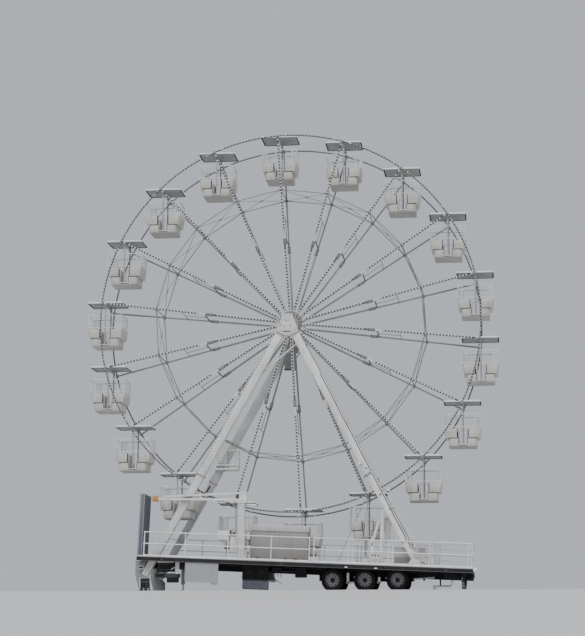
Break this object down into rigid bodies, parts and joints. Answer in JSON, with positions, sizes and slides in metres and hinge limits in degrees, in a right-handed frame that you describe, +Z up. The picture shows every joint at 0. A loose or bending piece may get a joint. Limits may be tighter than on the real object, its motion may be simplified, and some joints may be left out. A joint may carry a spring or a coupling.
{
  "type": "ferris wheel",
  "caption": "Transportable ferris wheel: an open wheel with level hanging gondolas turns on a fixed axle between two A-shaped leg frames on a flat three-axle trailer with railings.",
  "frame": {"origin": "on the ground, straight under the middle of the main axle", "axes": "+Z up, X along the trailer with the crane jib towards -X, +Y towards the back side"},
  "size_m": [17.9058, 4.6, 19.9004],
  "materials": {
    "white_paint": "satin white paint",
    "gondola_shell": "off-white moulded shell",
    "chassis_paint": "dark chassis paint",
    "deck_metal": "worn deck plate",
    "screen_paint": "grey paint",
    "store_paint": "beige grey paint",
    "lid_paint": "light grey paint",
    "tyre_rubber": "dusty rubber",
    "toolbox_paint": "blue grey paint",
    "axle_steel": "plain steel"
  },
  "bodies": {
    "base": {"chassis_frame": "chassis_paint", "suspension": "chassis_paint", "deck_plate": "deck_metal", "railing_front_left": "white_paint", "railing_front_right": "white_paint", "railing_back": "white_paint", "end_screen": "screen_paint", "leg_left_front": "white_paint", "leg_right_front": "white_paint", "leg_left_back": "white_paint", "leg_right_back": "white_paint", "leg_stand_front": "white_paint", "leg_stand_back": "white_paint", "leg_head_front": "white_paint", "leg_head_back": "white_paint", "main_axle": "axle_steel", "storage_box": "store_paint", "storage_box_lid": "lid_paint", "crane_post": "white_paint", "lifting_column": "white_paint", "prop_frame": "white_paint", "deck_cabinet": "lid_paint", "underdeck_toolbox": "toolbox_paint", "side_skirt": "lid_paint", "corner_jack_front": "chassis_paint", "corner_jack_back": "chassis_paint"},
    "wheel": {"hub_drum": "white_paint", "rim_front": "white_paint", "rim_back": "white_paint", "spoke_group_1": "white_paint", "spoke_group_2": "white_paint", "spoke_group_3": "white_paint", "spoke_group_4": "white_paint", "spoke_group_5": "white_paint", "spoke_group_6": "white_paint"},
    "gondola_01": {"gondola_01": "gondola_shell"},
    "gondola_02": {"gondola_02": "gondola_shell"},
    "gondola_03": {"gondola_03": "gondola_shell"},
    "gondola_04": {"gondola_04": "gondola_shell"},
    "gondola_05": {"gondola_05": "gondola_shell"},
    "gondola_06": {"gondola_06": "gondola_shell"},
    "gondola_07": {"gondola_07": "gondola_shell"},
    "gondola_08": {"gondola_08": "gondola_shell"},
    "gondola_09": {"gondola_09": "gondola_shell"},
    "gondola_10": {"gondola_10": "gondola_shell"},
    "gondola_11": {"gondola_11": "gondola_shell"},
    "gondola_12": {"gondola_12": "gondola_shell"},
    "gondola_13": {"gondola_13": "gondola_shell"},
    "gondola_14": {"gondola_14": "gondola_shell"},
    "gondola_15": {"gondola_15": "gondola_shell"},
    "gondola_16": {"gondola_16": "gondola_shell"},
    "gondola_17": {"gondola_17": "gondola_shell"},
    "gondola_18": {"gondola_18": "gondola_shell"},
    "road_wheel_front_1": {"road_wheel_front_1": "tyre_rubber"},
    "road_wheel_front_2": {"road_wheel_front_2": "tyre_rubber"},
    "road_wheel_front_3": {"road_wheel_front_3": "tyre_rubber"},
    "road_wheel_back_1": {"road_wheel_back_1": "tyre_rubber"},
    "road_wheel_back_2": {"road_wheel_back_2": "tyre_rubber"},
    "road_wheel_back_3": {"road_wheel_back_3": "tyre_rubber"},
    "jib": {"crane_jib": "white_paint"}
  },
  "joints": [
    {"name": "wheel_spin", "type": "hinge", "parent": "base", "child": "wheel", "pos_m": [0, 0, 11.53], "axis": [0, 1, 0], "continuous": true},
    {"name": "gondola_01_hang", "type": "hinge", "parent": "wheel", "child": "gondola_01", "pos_m": [-0.50631, 0, 19.71435], "axis": [0, 1, 0], "continuous": true},
    {"name": "gondola_02_hang", "type": "hinge", "parent": "wheel", "child": "gondola_02", "pos_m": [2.32344, 0, 19.39395], "axis": [0, 1, 0], "continuous": true},
    {"name": "gondola_03_hang", "type": "hinge", "parent": "wheel", "child": "gondola_03", "pos_m": [4.87294, 0, 18.12503], "axis": [0, 1, 0], "continuous": true},
    {"name": "gondola_04_hang", "type": "hinge", "parent": "wheel", "child": "gondola_04", "pos_m": [6.8347, 0, 16.06066], "axis": [0, 1, 0], "continuous": true},
    {"name": "gondola_05_hang", "type": "hinge", "parent": "wheel", "child": "gondola_05", "pos_m": [7.9721, 0, 13.44982], "axis": [0, 1, 0], "continuous": true},
    {"name": "gondola_06_hang", "type": "hinge", "parent": "wheel", "child": "gondola_06", "pos_m": [8.14794, 0, 10.60742], "axis": [0, 1, 0], "continuous": true},
    {"name": "gondola_07_hang", "type": "hinge", "parent": "wheel", "child": "gondola_07", "pos_m": [7.34101, 0, 7.8763], "axis": [0, 1, 0], "continuous": true},
    {"name": "gondola_08_hang", "type": "hinge", "parent": "wheel", "child": "gondola_08", "pos_m": [5.64866, 0, 5.58587], "axis": [0, 1, 0], "continuous": true},
    {"name": "gondola_09_hang", "type": "hinge", "parent": "wheel", "child": "gondola_09", "pos_m": [3.27499, 0, 4.01239], "axis": [0, 1, 0], "continuous": true},
    {"name": "gondola_10_hang", "type": "hinge", "parent": "wheel", "child": "gondola_10", "pos_m": [0.50631, 0, 3.34565], "axis": [0, 1, 0], "continuous": true},
    {"name": "gondola_11_hang", "type": "hinge", "parent": "wheel", "child": "gondola_11", "pos_m": [-2.32344, 0, 3.66605], "axis": [0, 1, 0], "continuous": true},
    {"name": "gondola_12_hang", "type": "hinge", "parent": "wheel", "child": "gondola_12", "pos_m": [-4.87294, 0, 4.93497], "axis": [0, 1, 0], "continuous": true},
    {"name": "gondola_13_hang", "type": "hinge", "parent": "wheel", "child": "gondola_13", "pos_m": [-6.8347, 0, 6.99934], "axis": [0, 1, 0], "continuous": true},
    {"name": "gondola_14_hang", "type": "hinge", "parent": "wheel", "child": "gondola_14", "pos_m": [-7.9721, 0, 9.61018], "axis": [0, 1, 0], "continuous": true},
    {"name": "gondola_15_hang", "type": "hinge", "parent": "wheel", "child": "gondola_15", "pos_m": [-8.14794, 0, 12.45258], "axis": [0, 1, 0], "continuous": true},
    {"name": "gondola_16_hang", "type": "hinge", "parent": "wheel", "child": "gondola_16", "pos_m": [-7.34101, 0, 15.1837], "axis": [0, 1, 0], "continuous": true},
    {"name": "gondola_17_hang", "type": "hinge", "parent": "wheel", "child": "gondola_17", "pos_m": [-5.64866, 0, 17.47413], "axis": [0, 1, 0], "continuous": true},
    {"name": "gondola_18_hang", "type": "hinge", "parent": "wheel", "child": "gondola_18", "pos_m": [-3.27499, 0, 19.04761], "axis": [0, 1, 0], "continuous": true},
    {"name": "road_wheel_front_1_roll", "type": "hinge", "parent": "base", "child": "road_wheel_front_1", "pos_m": [1.835, -1.0625, 0.46915], "axis": [0, 1, 0], "continuous": true},
    {"name": "road_wheel_front_2_roll", "type": "hinge", "parent": "base", "child": "road_wheel_front_2", "pos_m": [3.19, -1.0625, 0.46915], "axis": [0, 1, 0], "continuous": true},
    {"name": "road_wheel_front_3_roll", "type": "hinge", "parent": "base", "child": "road_wheel_front_3", "pos_m": [4.55, -1.0625, 0.46915], "axis": [0, 1, 0], "continuous": true},
    {"name": "road_wheel_back_1_roll", "type": "hinge", "parent": "base", "child": "road_wheel_back_1", "pos_m": [1.835, 1.0625, 0.46915], "axis": [0, 1, 0], "continuous": true},
    {"name": "road_wheel_back_2_roll", "type": "hinge", "parent": "base", "child": "road_wheel_back_2", "pos_m": [3.19, 1.0625, 0.46915], "axis": [0, 1, 0], "continuous": true},
    {"name": "road_wheel_back_3_roll", "type": "hinge", "parent": "base", "child": "road_wheel_back_3", "pos_m": [4.55, 1.0625, 0.46915], "axis": [0, 1, 0], "continuous": true},
    {"name": "jib_slew", "type": "hinge", "parent": "base", "child": "jib", "pos_m": [-1.9, -1.95, 3.8], "axis": [0, 0, 1], "range_deg": [0, 100]}
  ],
  "couplings": [
    {"joint": "gondola_01_hang", "follows": "wheel_spin", "ratio": -1},
    {"joint": "gondola_02_hang", "follows": "wheel_spin", "ratio": -1},
    {"joint": "gondola_03_hang", "follows": "wheel_spin", "ratio": -1},
    {"joint": "gondola_04_hang", "follows": "wheel_spin", "ratio": -1},
    {"joint": "gondola_05_hang", "follows": "wheel_spin", "ratio": -1},
    {"joint": "gondola_06_hang", "follows": "wheel_spin", "ratio": -1},
    {"joint": "gondola_07_hang", "follows": "wheel_spin", "ratio": -1},
    {"joint": "gondola_08_hang", "follows": "wheel_spin", "ratio": -1},
    {"joint": "gondola_09_hang", "follows": "wheel_spin", "ratio": -1},
    {"joint": "gondola_10_hang", "follows": "wheel_spin", "ratio": -1},
    {"joint": "gondola_11_hang", "follows": "wheel_spin", "ratio": -1},
    {"joint": "gondola_12_hang", "follows": "wheel_spin", "ratio": -1},
    {"joint": "gondola_13_hang", "follows": "wheel_spin", "ratio": -1},
    {"joint": "gondola_14_hang", "follows": "wheel_spin", "ratio": -1},
    {"joint": "gondola_15_hang", "follows": "wheel_spin", "ratio": -1},
    {"joint": "gondola_16_hang", "follows": "wheel_spin", "ratio": -1},
    {"joint": "gondola_17_hang", "follows": "wheel_spin", "ratio": -1},
    {"joint": "gondola_18_hang", "follows": "wheel_spin", "ratio": -1}
  ]
}
